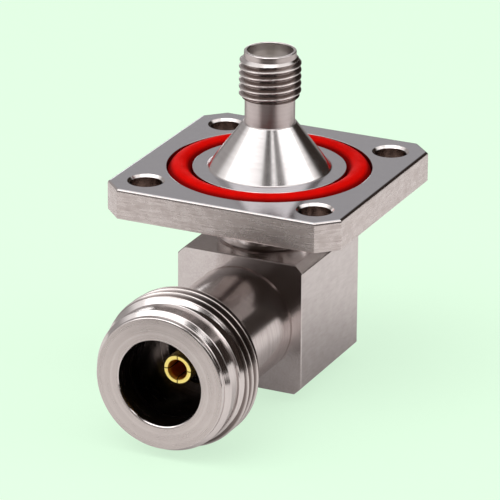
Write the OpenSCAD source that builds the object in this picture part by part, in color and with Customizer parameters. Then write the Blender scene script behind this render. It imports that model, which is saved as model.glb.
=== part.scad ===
// Right-angle coaxial adapter: an N socket on one arm, an SMA socket on the other,
// and a square four-hole panel flange with an O-ring round the SMA arm.
// Origin: centre of the four holes on the flange's sealing face.
// +Z runs along the SMA arm, -Y along the N arm. Millimetres.

/* [Flange] */
// Width of the square flange across its flats
flange_w = 25.4; // [24.5:0.1:30]
// Thickness of the flange
flange_t = 3.15; // [2.9:0.05:5]
// Length that the corner cut takes off each side
flange_corner = 2; // [0.6:0.1:2.6]
// Bevel round the top edge of the flange
flange_bevel = 0.28; // [0.1:0.02:0.4]
// Bevel round the bottom edge of the flange
flange_under_bevel = 0.16; // [0.05:0.01:0.3]
// Spacing of the mounting holes along each side
hole_pitch = 18.4; // [18:0.1:18.8]
// Diameter of each mounting hole
hole_d = 3.25; // [2.6:0.05:3.4]
// Diameter of the countersink at each mounting hole
hole_sink_d = 3.75; // [3.5:0.05:3.9]

/* [O-ring] */
// Inside diameter of the O-ring's groove
groove_in_d = 15.45; // [14:0.05:15.6]
// Depth of the O-ring's groove
groove_depth = 2.15; // [1.7:0.05:2.3]
// Thickness of the O-ring
seal_section = 2.5; // [2:0.05:2.55]
// Gap between the O-ring and each wall of its groove
seal_gap = 0.04; // [0.02:0.01:0.08]

/* [SMA arm] */
// Height of the SMA mouth above the sealing face
sma_top = 12.24; // [11.6:0.02:15]
// Outside diameter of the rim in front of the thread
sma_rim_d = 5.24; // [5.1:0.02:5.6]
// Length of that rim
sma_rim_len = 0.66; // [0.4:0.02:1]
// Major diameter of the SMA thread
sma_thread_d = 6.22; // [6.1:0.01:6.35]
// Length of the SMA thread with its end bevels
sma_thread_len = 4.18; // [3.6:0.02:4.4]
// Bevel where the thread starts, behind the rim
sma_lead_bevel = 0.42; // [0.2:0.02:0.5]
// Bevel at the thread's inner end
sma_tail_bevel = 0.3; // [0.1:0.02:0.5]
// Diameter of the plain neck under the thread
sma_neck_d = 5.04; // [4.96:0.02:5.2]
// Diameter of the cone where it meets the neck
cone_top_d = 5.32; // [5.24:0.02:5.6]
// Height of the cone above the sealing face
cone_h = 4.75; // [3:0.05:6]
// Diameter of the cone at the sealing face
cone_base_d = 12.4; // [9:0.1:13.4]
// Bore of the SMA mouth
sma_mouth_d = 4.6; // [4.4:0.02:4.66]
// Bevel at the lip of the SMA mouth
sma_lip_bevel = 0.11; // [0.04:0.01:0.12]
// Depth from the mouth to the face of the insulator
sma_mouth_depth = 1.91; // [1.5:0.01:2.4]
// Outside diameter of the SMA insulator
sma_insulator_d = 4.12; // [4:0.02:4.2]
// Diameter of the insulators' wider foot
sma_foot_d = 5; // [4.7:0.05:5.6]
// Depth of the foot's seat below the sealing face
sma_foot_seat = 1; // [0.4:0.1:1.6]
// Thickness of the front insulator's foot
sma_foot_t = 2.5; // [1.6:0.1:3.2]

/* [SMA contact] */
// Diameter of the SMA contact
sma_contact_d = 1.27; // [1.2:0.01:1.4]
// Bore of the SMA contact's socket
sma_socket_d = 0.94; // [0.88:0.01:0.98]
// Depth of the SMA contact's socket
sma_socket_depth = 3; // [2:0.1:5]
// Width of the slots in the SMA contact
sma_slot_w = 0.16; // [0.08:0.01:0.25]
// Diameter of the collar that holds the SMA contact
collar_d = 2.2; // [1.7:0.05:3]
// Thickness of that collar
collar_t = 0.8; // [0.5:0.05:1.2]
// Diameter of the rear pin that enters the N conductor
link_pin_d = 0.9; // [0.6:0.02:1.1]

/* [Block] */
// Width and depth of the elbow block
block_w = 13.72; // [13.2:0.02:16]
// Height of the elbow block
block_h = 13.85; // [13:0.05:16]
// Length that the turned corner takes off each side of the block
block_corner = 0.8; // [0.3:0.05:1.4]
// Bevel round the block's front and back faces
block_bevel = 0.12; // [0.05:0.01:0.25]
// Length of the round neck between flange and block
neck_len = 4.12; // [3:0.02:7]
// Diameter of that neck
neck_d = 10.5; // [9.4:0.1:12]
// Diameter of the neck's spigot in the block
spigot_d = 7.2; // [6.6:0.1:7.5]
// Depth of both spigot seats in the block
spigot_depth = 2.6; // [2:0.1:2.8]
// Bore that carries the SMA pin through the block
link_bore_d = 2.92; // [2.2:0.02:4]
// Diameter of the access cap in the block's back
cap_d = 9; // [8:0.1:10]
// Thickness of the access cap
cap_t = 1.2; // [0.8:0.1:1.8]
// Bevel round the access cap and its seat
cap_bevel = 0.12; // [0.05:0.01:0.2]

/* [N arm] */
// Length of the N neck between block and thread
n_neck_len = 11.24; // [9:0.02:16]
// Diameter of the N neck
n_neck_d = 11.4; // [10.4:0.1:13]
// Major diameter of the N thread
n_thread_d = 15.84; // [15.6:0.01:16]
// Length of the N thread with its end bevels
n_thread_len = 4; // [3.6:0.1:8]
// Bevel at the back of the N thread
n_tail_bevel = 0.6; // [0.3:0.05:0.8]
// Diameter of the plain band in front of the thread
n_band_d = 14.5; // [14.2:0.05:14.9]
// Length of that band
n_band_len = 1.75; // [1:0.05:3]
// Diameter of the front rim
n_rim_d = 13.6; // [12.8:0.05:13.9]
// Length of the front rim with the bevel behind it
n_rim_len = 1.03; // [0.8:0.01:2]
// Bevel round the front face
n_face_bevel = 0.17; // [0.05:0.01:0.3]
// Bore of the N mouth
n_mouth_d = 8.8; // [8.4:0.02:9.4]
// Bevel at the lip of the N mouth
n_lip_bevel = 0.24; // [0.1:0.02:0.4]
// Depth from the front face to the outer conductor's end face
n_ref_depth = 9.1; // [8:0.02:9.3]
// Inside diameter of the outer conductor behind it
n_line_d = 7; // [6.4:0.02:7.3]
// Diameter of the N shell's spigot in the block
n_spigot_d = 9.6; // [9:0.1:10]
// Diameter of the bead that carries the N contact
bead_d = 7.8; // [7.6:0.05:8.2]
// Thickness of the bead
bead_t = 2.2; // [1.4:0.1:2.6]
// Length of the bush behind the bead
bush_len = 3.44; // [3:0.02:4.4]

/* [N contact] */
// Diameter of the N contact and the conductor behind it
n_contact_d = 3.04; // [2.9:0.02:3.3]
// Depth from the front face to the contact's tip
n_tip_depth = 3.97; // [3.6:0.01:5.4]
// Bore of the N contact's socket
n_socket_d = 1.7; // [1.6:0.02:2]
// Depth of the N contact's socket
n_socket_depth = 6; // [5:0.1:7]
// Length of the slots in the N contact
n_slot_len = 4.6; // [3:0.1:5]
// Width of the slots in the N contact
n_slot_w = 0.1; // [0.06:0.01:0.3]
// Bevel round the contact's tip
n_tip_bevel = 0.14; // [0.05:0.01:0.2]
// Diameter of the stud that joins contact and conductor
stud_d = 1.9; // [1.6:0.05:2.3]
// Depth to which the stud enters the contact
stud_depth = 3; // [1.5:0.1:3.4]
// Distance that the conductor runs on behind the SMA axis
conductor_tail = 2.1; // [1.7:0.05:2.4]
// Diameter of the conductor's end pin
end_pin_d = 1.6; // [1:0.05:2.2]
// Length of the conductor's end pin
end_pin_len = 1.6; // [1:0.1:2.2]

/* [Fits] */
// Clearance on the radius between pieces that fit together
fit = 0.03; // [0.01:0.01:0.05]
// Gap at the end of a spigot, pin or stud
end_gap = 0.1; // [0.04:0.02:0.2]
// Bevel at the foot of each neck
foot_bevel = 0.22; // [0.05:0.01:0.3]

/* [Hidden] */
$fn = 96;
over = 1; // how far a cutter runs past the face that it cuts

steel = [0.72, 0.70, 0.69];
gold = [0.86, 0.66, 0.28];
white = [0.93, 0.93, 0.90];
red = [0.80, 0.06, 0.02];

// heights along the SMA axis
block_top = -flange_t - neck_len;
n_axis_z = block_top - block_h / 2;
seat_floor = block_top - spigot_depth;
sma_ref = sma_top - sma_mouth_depth;
sma_thread_top = sma_top - sma_rim_len;
sma_thread_end = sma_thread_top - sma_thread_len;
foot_bottom = -sma_foot_seat - sma_foot_t;
link_step = n_axis_z + n_contact_d / 2 + 3 * end_gap;
link_end = n_axis_z - n_contact_d / 4;

// distances in front of the SMA axis along the N arm, towards -Y
block_front = block_w / 2;
n_seat_floor = block_front - spigot_depth;
bead_back = n_seat_floor + bush_len;
bead_front = bead_back + bead_t;
n_thread_back = block_front + n_neck_len;
n_thread_front = n_thread_back + n_thread_len;
n_band_front = n_thread_front + n_band_len;
n_face = n_band_front + n_rim_len;
n_ref = n_face - n_ref_depth;
n_tip = n_face - n_tip_depth;

seal_r = groove_in_d / 2 + seal_gap + seal_section / 2;
groove_out_d = groove_in_d + 2 * seal_section + 4 * seal_gap;
cut_across = (flange_w - flange_corner) / sqrt(2);
block_turned_r = norm([block_w / 2, block_h / 2 - block_corner]);

// a solid of revolution on the N axis, from points of radius and distance in front
module turned_on_n(points) {
    translate([0, 0, n_axis_z]) rotate([90, 0, 0]) rotate_extrude() polygon(points);
}

// a straight bore or plug on the N axis between two distances in front
module n_cylinder(d, back, front) {
    translate([0, -back, n_axis_z]) rotate([90, 0, 0]) cylinder(d = d, h = front - back);
}

// a straight bore or plug on the SMA axis between two heights
module sma_cylinder(d, low, high) {
    translate([0, 0, low]) cylinder(d = d, h = high - low);
}

// a wedge that bevels one straight edge at distance reach from the Z axis
module edge_cutter(reach, size, length) {
    rotate([90, 0, 0]) linear_extrude(length, center = true)
        polygon([[reach - 2 * size, size], [reach + size, -2 * size], [reach + size, size]]);
}

// the eight edge bevels of the flange, cutting down from z = 0
module flange_bevels(size) {
    for (a = [0 : 90 : 270]) {
        rotate(a) edge_cutter(flange_w / 2, size, flange_w);
        rotate(a + 45) edge_cutter(cut_across, size, flange_w);
    }
}

module flange_plate() {
    difference() {
        translate([0, 0, -flange_t]) linear_extrude(flange_t) intersection() {
            square(flange_w, center = true);
            rotate(45) square(2 * cut_across, center = true);
        }
        flange_bevels(flange_bevel);
        translate([0, 0, -flange_t]) mirror([0, 0, 1]) flange_bevels(flange_under_bevel);
    }
}

module mounting_holes() {
    sink = (hole_sink_d - hole_d) / 2;
    for (x = [-1, 1], y = [-1, 1]) translate([x * hole_pitch / 2, y * hole_pitch / 2, 0]) {
        translate([0, 0, -flange_t - over]) cylinder(d = hole_d, h = flange_t + 2 * over);
        translate([0, 0, -sink]) cylinder(d1 = hole_d, d2 = hole_sink_d + 2 * over, h = sink + over);
    }
}

module seal_groove() {
    translate([0, 0, -groove_depth]) difference() {
        cylinder(d = groove_out_d, h = groove_depth + over);
        translate([0, 0, -over]) cylinder(d = groove_in_d, h = groove_depth + 3 * over);
    }
}

// barrel, cone, flange, neck and spigot, machined as one piece
module flange_body() {
    spigot_end = seat_floor + end_gap;
    under = -flange_t / 2;
    color(steel) difference() {
        union() {
            flange_plate();
            rotate_extrude() polygon([
                [0, under], [cone_base_d / 2, under], [cone_base_d / 2, 0],
                [cone_top_d / 2, cone_h], [sma_neck_d / 2, cone_h], [sma_neck_d / 2, sma_thread_end],
                [sma_thread_d / 2 - sma_tail_bevel, sma_thread_end],
                [sma_thread_d / 2, sma_thread_end + sma_tail_bevel],
                [sma_thread_d / 2, sma_thread_top - sma_lead_bevel],
                [sma_rim_d / 2, sma_thread_top], [sma_rim_d / 2, sma_top - sma_lip_bevel],
                [sma_rim_d / 2 - sma_lip_bevel, sma_top], [0, sma_top]]);
            rotate_extrude() polygon([
                [0, spigot_end], [spigot_d / 2, spigot_end], [spigot_d / 2, block_top],
                [neck_d / 2 - foot_bevel, block_top], [neck_d / 2, block_top + foot_bevel],
                [neck_d / 2, under], [0, under]]);
        }
        seal_groove();
        mounting_holes();
        sma_cylinder(sma_insulator_d + 2 * fit, spigot_end - over, sma_top);
        sma_cylinder(sma_foot_d + 2 * fit, spigot_end - over, -sma_foot_seat);
        sma_cylinder(sma_mouth_d, sma_ref, sma_top + over);
        translate([0, 0, sma_top - sma_lip_bevel])
            cylinder(d1 = sma_mouth_d, d2 = sma_mouth_d + 2 * sma_lip_bevel + 2 * over,
                     h = sma_lip_bevel + over);
    }
}

module flange_seal() {
    color(red) translate([0, 0, -groove_depth + fit + seal_section / 2])
        rotate_extrude() translate([seal_r, 0]) circle(d = seal_section);
}

// the four straight bevels round the block's front face, or round its back face
module block_end_bevels(side) {
    for (a = [0 : 90 : 270])
        translate([0, side * block_front, n_axis_z]) rotate([side * -90, 0, 0]) rotate(a)
            edge_cutter((a % 180 == 0 ? block_w : block_h) / 2, block_bevel, block_w + block_h);
}

// square block, turned on the N axis so that its long edges are cut back
module elbow_block() {
    color(steel) difference() {
        intersection() {
            translate([0, 0, n_axis_z]) cube([block_w, block_w, block_h], center = true);
            turned_on_n([[0, -block_front], [block_turned_r - block_bevel, -block_front],
                         [block_turned_r, -block_front + block_bevel],
                         [block_turned_r, block_front - block_bevel],
                         [block_turned_r - block_bevel, block_front], [0, block_front]]);
        }
        for (side = [-1, 1]) block_end_bevels(side);
        sma_cylinder(spigot_d + 2 * fit, seat_floor, block_top + over);
        sma_cylinder(link_bore_d, n_axis_z, seat_floor + over);
        n_cylinder(n_spigot_d + 2 * fit, n_seat_floor, block_front + over);
        n_cylinder(n_line_d, -block_front + cap_t / 2, n_seat_floor + over);
        n_cylinder(cap_d + 2 * fit, -block_front - over, -block_front + cap_t);
        turned_on_n([[0, -block_front - over], [cap_d / 2 + fit + cap_bevel + over, -block_front - over],
                     [cap_d / 2 + fit, -block_front + cap_bevel], [0, -block_front + cap_bevel]]);
    }
}

// N barrel with its neck and spigot; the thread zone is at its major diameter
module n_shell() {
    spigot_end = n_seat_floor + end_gap;
    lead = (n_thread_d - n_band_d) / 2;
    rim_step = (n_band_d - n_rim_d) / 2;
    color(steel) turned_on_n([
        [bead_d / 2 + fit, spigot_end], [n_spigot_d / 2, spigot_end], [n_spigot_d / 2, block_front],
        [n_neck_d / 2 - foot_bevel, block_front], [n_neck_d / 2, block_front + foot_bevel],
        [n_neck_d / 2, n_thread_back], [n_thread_d / 2 - n_tail_bevel, n_thread_back],
        [n_thread_d / 2, n_thread_back + n_tail_bevel], [n_thread_d / 2, n_thread_front - lead],
        [n_band_d / 2, n_thread_front], [n_band_d / 2, n_band_front],
        [n_rim_d / 2, n_band_front + rim_step], [n_rim_d / 2, n_face - n_face_bevel],
        [n_rim_d / 2 - n_face_bevel, n_face], [n_mouth_d / 2 + n_lip_bevel, n_face],
        [n_mouth_d / 2, n_face - n_lip_bevel], [n_mouth_d / 2, n_ref], [n_line_d / 2, n_ref],
        [n_line_d / 2, bead_front], [bead_d / 2 + fit, bead_front]]);
}

// gold socket with crossed slots, screwed on the stud of the conductor behind the bead
module n_contact() {
    r = n_contact_d / 2;
    color(gold) difference() {
        turned_on_n([[0, bead_front], [r, bead_front], [r, n_tip - n_tip_bevel], [r - n_tip_bevel, n_tip],
                     [0, n_tip]]);
        n_cylinder(stud_d + 2 * fit, bead_front - over, bead_front + stud_depth + end_gap);
        n_cylinder(n_socket_d, n_tip - n_socket_depth, n_tip + over);
        turned_on_n([[0, n_tip - n_tip_bevel], [n_socket_d / 2, n_tip - n_tip_bevel],
                     [n_socket_d / 2 + n_tip_bevel + over, n_tip + over], [0, n_tip + over]]);
        for (a = [0, 90]) translate([0, -n_tip, n_axis_z]) rotate([0, a, 0])
            cube([n_slot_w, 2 * n_slot_len, 2 * n_contact_d], center = true);
    }
}

// conductor behind the bead: stud in front, cross hole for the SMA pin, end pin behind
module n_inner_conductor() {
    color(gold) difference() {
        union() {
            n_cylinder(n_contact_d, -conductor_tail, bead_back);
            n_cylinder(stud_d, bead_back - over, bead_front + stud_depth);
            n_cylinder(end_pin_d, -conductor_tail - end_pin_len, -conductor_tail + over);
        }
        sma_cylinder(link_pin_d + 2 * fit, link_end - end_gap, n_axis_z + n_contact_d);
    }
}

module n_bead() {
    color(white) difference() {
        n_cylinder(bead_d, bead_back, bead_front);
        n_cylinder(stud_d + 2 * fit, bead_back - over, bead_front + over);
    }
}

module n_bead_bush() {
    color(steel) difference() {
        n_cylinder(bead_d, n_seat_floor, bead_back);
        n_cylinder(n_line_d, n_seat_floor - over, bead_back + over);
    }
}

// slotted socket, holding collar and stepped rear pin
module sma_contact() {
    tip = sma_ref - fit;
    color(gold) difference() {
        union() {
            sma_cylinder(sma_contact_d, link_step, tip);
            sma_cylinder(collar_d, foot_bottom, foot_bottom + collar_t);
            sma_cylinder(link_pin_d, link_end, link_step + over);
        }
        sma_cylinder(sma_socket_d, tip - sma_socket_depth, tip + over);
        for (a = [0, 90]) translate([0, 0, tip]) rotate(a)
            cube([sma_slot_w, 2 * sma_contact_d, sma_socket_depth], center = true);
    }
}

module sma_dielectric() {
    color(white) difference() {
        union() {
            sma_cylinder(sma_insulator_d, foot_bottom, sma_ref);
            sma_cylinder(sma_foot_d, foot_bottom, -sma_foot_seat);
        }
        sma_cylinder(sma_contact_d + 2 * fit, foot_bottom - over, sma_ref + over);
        sma_cylinder(collar_d + 2 * fit, foot_bottom - over, foot_bottom + collar_t);
    }
}

module sma_dielectric_rear() {
    color(white) difference() {
        sma_cylinder(sma_foot_d, seat_floor, foot_bottom);
        sma_cylinder(sma_contact_d + 2 * fit, seat_floor - over, foot_bottom + over);
    }
}

// plug behind the junction, it steadies the conductor's end pin
module access_insulator() {
    back = -block_front + cap_t;
    front = -conductor_tail - end_gap;
    color(white) difference() {
        n_cylinder(n_line_d - 2 * fit, back, front);
        n_cylinder(end_pin_d + 2 * fit, -conductor_tail - end_pin_len - end_gap, front + over);
    }
}

module access_cap() {
    color(steel) turned_on_n([[0, -block_front], [cap_d / 2 - cap_bevel, -block_front],
                              [cap_d / 2, -block_front + cap_bevel], [cap_d / 2, -block_front + cap_t],
                              [0, -block_front + cap_t]]);
}

elbow_block();
flange_body();
flange_seal();
n_shell();
n_contact();
n_inner_conductor();
n_bead();
n_bead_bush();
sma_contact();
sma_dielectric();
sma_dielectric_rear();
access_insulator();
access_cap();
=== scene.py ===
# Right-angle coaxial panel adapter: N socket on one arm, SMA socket on the other,
# square four-hole flange with a red O-ring. Blender 4.5, lengths in millimetres until a mesh is finished.
import math

import bmesh
import bpy
from mathutils import Matrix, Vector
from mathutils.geometry import tessellate_polygon


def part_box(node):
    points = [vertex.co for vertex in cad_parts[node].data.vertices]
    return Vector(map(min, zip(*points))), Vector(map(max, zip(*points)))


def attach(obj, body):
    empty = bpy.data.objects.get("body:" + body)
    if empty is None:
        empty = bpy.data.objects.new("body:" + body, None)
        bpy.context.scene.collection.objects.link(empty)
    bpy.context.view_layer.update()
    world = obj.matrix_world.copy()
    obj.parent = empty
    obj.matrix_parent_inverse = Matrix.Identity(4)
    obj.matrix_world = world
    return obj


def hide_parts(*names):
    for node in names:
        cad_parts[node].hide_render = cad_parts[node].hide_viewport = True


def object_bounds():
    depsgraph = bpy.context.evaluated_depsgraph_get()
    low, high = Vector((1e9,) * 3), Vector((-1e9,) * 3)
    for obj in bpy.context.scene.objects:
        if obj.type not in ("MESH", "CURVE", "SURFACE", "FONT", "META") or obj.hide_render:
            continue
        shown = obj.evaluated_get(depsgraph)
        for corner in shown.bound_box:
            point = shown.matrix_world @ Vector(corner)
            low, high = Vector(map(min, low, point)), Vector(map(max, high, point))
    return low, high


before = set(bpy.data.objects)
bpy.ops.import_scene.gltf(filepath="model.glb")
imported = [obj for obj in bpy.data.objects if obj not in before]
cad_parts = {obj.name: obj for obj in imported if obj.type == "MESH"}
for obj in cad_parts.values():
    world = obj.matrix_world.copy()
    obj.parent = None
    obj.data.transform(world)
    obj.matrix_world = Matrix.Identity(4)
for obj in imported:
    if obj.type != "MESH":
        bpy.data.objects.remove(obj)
cadBounds = [list(corner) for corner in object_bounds()]

mm = 0.001
creaseAngle = math.radians(32)  # edges sharper than this stay crisp
flatAngle = math.radians(4)  # facets of a turned skin meet at less
flatShare = 4  # a face this many times larger than its neighbour keeps its edge crisp
mergeDistance = 0.0004  # mm
quarter = math.pi / 2


def nodeBox(name):
    low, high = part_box(name)
    return Vector(low) / mm, Vector(high) / mm


flangeHigh = nodeBox("flange_body")[1]
shellLow, shellHigh = nodeBox("n_shell")
blockLow, blockHigh = nodeBox("elbow_block")
contactLow, contactHigh = nodeBox("n_contact")

axisHeight = (shellLow.z + shellHigh.z) / 2  # height of the N axis
ontoN = Matrix.Translation((0, 0, axisHeight)) @ Matrix.Rotation(math.radians(90), 4, "X")


# ---- mesh helpers

def circle(radius, height, count, centre=(0, 0)):
    step = 2 * math.pi / count
    return [(centre[0] + radius * math.cos(i * step), centre[1] + radius * math.sin(i * step), height)
            for i in range(count)]


def addLoop(bm, points):
    return [bm.verts.new(point) for point in points]


def bridge(bm, first, second):
    count = len(first)
    for i in range(count):
        j = (i + 1) % count
        bm.faces.new((first[i], first[j], second[j], second[i]))


def bridgeAll(bm, loops):
    for first, second in zip(loops, loops[1:]):
        bridge(bm, first, second)


def fillFlat(bm, outline, holes=()):
    loops = [outline, *holes]
    corners = [vert for loop in loops for vert in loop]
    for a, b, c in tessellate_polygon([[vert.co for vert in loop] for loop in loops]):
        if len({a, b, c}) == 3:
            bm.faces.new((corners[a], corners[b], corners[c]))


# corners are (radius, height, length that the round takes off each side)
def softened(corners, steps=3):
    path = []
    for i, (radius, height, cut) in enumerate(corners):
        here = Vector((radius, height))
        if not cut:
            path.append(here)
            continue
        before = Vector(corners[i - 1][:2])
        after = Vector(corners[(i + 1) % len(corners)][:2])
        start = here + (before - here).normalized() * cut
        end = here + (after - here).normalized() * cut
        for k in range(steps + 1):
            t = k / steps
            path.append(start * (1 - t) ** 2 + here * 2 * t * (1 - t) + end * t ** 2)
    return path


# quarter round of an edge: how far in and how far down each step lies
def roundedEdge(size, steps):
    angles = [quarter * k / steps for k in range(steps + 1)]
    return [(size * (1 - math.sin(angle)), size * (1 - math.cos(angle))) for angle in angles]


# adds rings to the stretch of a path between two heights, outside a radius
def denser(path, low, high, beyond, step):
    dense = [path[0]]
    for before, after in zip(path, path[1:]):
        middle = (before + after) / 2
        pieces = 1
        if low < middle.y < high and middle.x > beyond:
            pieces = max(1, math.ceil((after - before).length / step))
        dense += [before.lerp(after, (k + 1) / pieces) for k in range(pieces)]
    return dense


# turns a path of radius and height round the Z axis, and returns its rings
def lathe(bm, path, count, closed=False):
    rings = []
    for point in path:
        if point.x < 1e-6:
            rings.append([bm.verts.new((0, 0, point.y))])
        else:
            rings.append(addLoop(bm, circle(point.x, point.y, count)))
    pairs = list(zip(rings, rings[1:]))
    if closed:
        pairs.append((rings[-1], rings[0]))
    for first, second in pairs:
        if len(first) == 1 and len(second) == 1:
            continue
        if len(first) == len(second):
            bridge(bm, first, second)
            continue
        pole, ring = (first[0], second) if len(first) == 1 else (second[0], first)
        for i in range(count):
            bm.faces.new((pole, ring[i], ring[(i + 1) % count]))
    return rings


# shades rounds smooth, and keeps flats true where a narrow round meets them
def markEdges(bm):
    areas = {face: face.calc_area() for face in bm.faces}
    for edge in bm.edges:
        edge.smooth = False
        if len(edge.link_faces) == 2:
            small, large = sorted(areas[face] for face in edge.link_faces)
            angle = edge.calc_face_angle()
            edge.smooth = angle < flatAngle or (angle < creaseAngle and large < flatShare * small)


def finishMesh(bm, name, move=Matrix()):
    bmesh.ops.remove_doubles(bm, verts=bm.verts, dist=mergeDistance)
    bmesh.ops.recalc_face_normals(bm, faces=bm.faces)
    for face in bm.faces:
        face.smooth = True
    markEdges(bm)
    bm.transform(Matrix.Scale(mm, 4) @ move)
    mesh = bpy.data.meshes.new(name)
    bm.to_mesh(mesh)
    bm.free()
    piece = bpy.data.objects.new(name, mesh)
    bpy.context.collection.objects.link(piece)
    return piece


# swaps a piece's mesh for what its modifiers make of it, and drops the modifiers
def applyModifiers(piece):
    graph = bpy.context.evaluated_depsgraph_get()
    mesh = bpy.data.meshes.new_from_object(piece.evaluated_get(graph))
    piece.modifiers.clear()
    mesh.name = piece.name
    piece.data = mesh


def cutAway(piece, cutters):
    for cutter in cutters:
        cut = piece.modifiers.new(cutter.name, "BOOLEAN")
        cut.operation = "DIFFERENCE"
        cut.solver = "EXACT"
        cut.object = cutter
    applyModifiers(piece)
    for cutter in cutters:
        bpy.data.objects.remove(cutter)
    bm = bmesh.new()
    bm.from_mesh(piece.data)
    bmesh.ops.remove_doubles(bm, verts=bm.verts, dist=mergeDistance * mm)
    markEdges(bm)
    bm.to_mesh(piece.data)
    bm.free()


# ---- node helpers

# puts a number or a colour in a socket, or links another socket to it
def feed(tree, socket, value):
    if isinstance(value, bpy.types.NodeSocket):
        tree.links.new(value, socket)
    else:
        socket.default_value = value


def place(tree, kind, inputs=None, **settings):
    node = tree.nodes.new(kind)
    for key, value in settings.items():
        setattr(node, key, value)
    for key, value in (inputs or {}).items():
        feed(tree, node.inputs[key], value)
    return node


def calc(tree, operation, *values, kind="ShaderNodeMath"):
    return place(tree, kind, dict(enumerate(values)), operation=operation).outputs[0]


def distanceFromAxis(tree, x, y):
    return calc(tree, "SQRT", calc(tree, "ADD", calc(tree, "MULTIPLY", x, x), calc(tree, "MULTIPLY", y, y)))


def objectPosition(tree):
    return place(tree, "ShaderNodeTexCoord").outputs["Object"]


def newTree(name, kind, inputs, outputs):
    tree = bpy.data.node_groups.new(name, kind)
    for socketName, socketType, value in inputs:
        socket = tree.interface.new_socket(socketName, in_out="INPUT", socket_type=socketType)
        if value is not None:
            socket.default_value = value
    for socketName, socketType in outputs:
        tree.interface.new_socket(socketName, in_out="OUTPUT", socket_type=socketType)
    return tree, tree.nodes.new("NodeGroupInput").outputs, tree.nodes.new("NodeGroupOutput").inputs


def setInputs(modifier, values):
    for item in modifier.node_group.interface.items_tree:
        if item.item_type == "SOCKET" and item.in_out == "INPUT" and item.name in values:
            modifier[item.identifier] = values[item.name]


# ---- shader groups shared by the finishes

def turningMarks():
    tree, given, out = newTree("turningMarks", "ShaderNodeTree",
                               [("Vector", "NodeSocketVector", None), ("Lines per mm", "NodeSocketFloat", 4.0),
                                ("Patchiness", "NodeSocketFloat", 0.4)],
                               [("Height", "NodeSocketFloat"), ("Tone", "NodeSocketFloat")])
    inMm = place(tree, "ShaderNodeVectorMath", {0: given["Vector"], "Scale": 1 / mm},
                 operation="SCALE").outputs[0]
    across = place(tree, "ShaderNodeSeparateXYZ", {0: inMm}).outputs
    radius = distanceFromAxis(tree, across[0], across[1])
    alongRing = place(tree, "ShaderNodeCombineXYZ", {0: radius, 1: across[2]}).outputs[0]
    rings = place(tree, "ShaderNodeTexNoise",
                  {"Vector": alongRing, "Scale": given["Lines per mm"], "Detail": 2.0}).outputs["Fac"]
    wideRings = place(tree, "ShaderNodeTexNoise",
                      {"Vector": alongRing, "Scale": calc(tree, "MULTIPLY", given["Lines per mm"], 0.3),
                       "Detail": 3.0}).outputs["Fac"]
    patches = place(tree, "ShaderNodeTexNoise",
                    {"Vector": inMm, "Scale": 0.45, "Detail": 4.0}).outputs["Fac"]
    tree.links.new(rings, out["Height"])
    tone = place(tree, "ShaderNodeMix", {"Factor": given["Patchiness"], 2: wideRings, 3: patches})
    tree.links.new(tone.outputs[0], out["Tone"])
    return tree


def brushedGrain():
    tree, given, out = newTree("brushedGrain", "ShaderNodeTree",
                               [("Vector", "NodeSocketVector", None), ("Across", "NodeSocketFloat", 9.0),
                                ("Along", "NodeSocketFloat", 0.6), ("Turn", "NodeSocketVector", (0, 0, 0))],
                               [("Height", "NodeSocketFloat"), ("Tone", "NodeSocketFloat")])
    turned = place(tree, "ShaderNodeMapping", {"Vector": given["Vector"], "Rotation": given["Turn"],
                                               "Scale": (1 / mm, 1 / mm, 1 / mm)}).outputs[0]
    stretch = place(tree, "ShaderNodeCombineXYZ",
                    {0: given["Along"], 1: given["Across"], 2: given["Across"]}).outputs[0]
    grainVector = calc(tree, "MULTIPLY", turned, stretch, kind="ShaderNodeVectorMath")
    grain = place(tree, "ShaderNodeTexNoise",
                  {"Vector": grainVector, "Scale": 1.0, "Detail": 3.0}).outputs["Fac"]
    blotches = place(tree, "ShaderNodeTexNoise",
                     {"Vector": turned, "Scale": 1.1, "Detail": 5.0}).outputs["Fac"]
    tree.links.new(grain, out["Height"])
    tone = place(tree, "ShaderNodeMix", {"Factor": 0.45, 2: grain, 3: blotches})
    tree.links.new(tone.outputs[0], out["Tone"])
    return tree


# painted shade for a thread's groove: 0 on the crest, 1 down in the groove, where the colour is darkened to
# stand in for shade
def paintedGrooveShade():
    tree, given, out = newTree("paintedGrooveShade", "ShaderNodeTree",
                               [("Vector", "NodeSocketVector", None), ("Crest Radius", "NodeSocketFloat", 3.0),
                                ("Depth", "NodeSocketFloat", 0.3)], [("Painted Shade", "NodeSocketFloat")])
    across = place(tree, "ShaderNodeSeparateXYZ", {0: given["Vector"]}).outputs
    radius = distanceFromAxis(tree, across[0], across[1])
    below = calc(tree, "SUBTRACT", given["Crest Radius"], calc(tree, "DIVIDE", radius, mm))
    paintedShade = place(tree, "ShaderNodeMapRange", {"Value": below, "From Min": 0.02, "From Max": given["Depth"]},
                  interpolation_type="SMOOTHSTEP")
    tree.links.new(paintedShade.outputs[0], out["Painted Shade"])
    return tree


# cloudy tone and fine pores of a moulded surface
def mouldedSkin():
    tree, given, out = newTree("mouldedSkin", "ShaderNodeTree",
                               [("Vector", "NodeSocketVector", None), ("Pores per mm", "NodeSocketFloat", 5.0)],
                               [("Height", "NodeSocketFloat"), ("Tone", "NodeSocketFloat")])
    clouds = place(tree, "ShaderNodeTexNoise",
                   {"Vector": given["Vector"], "Scale": 0.6 / mm, "Detail": 4.0}).outputs["Fac"]
    poreScale = calc(tree, "DIVIDE", given["Pores per mm"], mm)
    pores = place(tree, "ShaderNodeTexNoise",
                  {"Vector": given["Vector"], "Scale": poreScale, "Detail": 3.0}).outputs["Fac"]
    tree.links.new(pores, out["Height"])
    tree.links.new(clouds, out["Tone"])
    return tree


turningGroup = turningMarks()
grooveShadeGroup = paintedGrooveShade()
grainGroup = brushedGrain()
skinGroup = mouldedSkin()


def newMaterial(name):
    material = bpy.data.materials.new(name)
    material.use_nodes = True
    tree = material.node_tree
    return material, tree, tree.nodes["Principled BSDF"]


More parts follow.
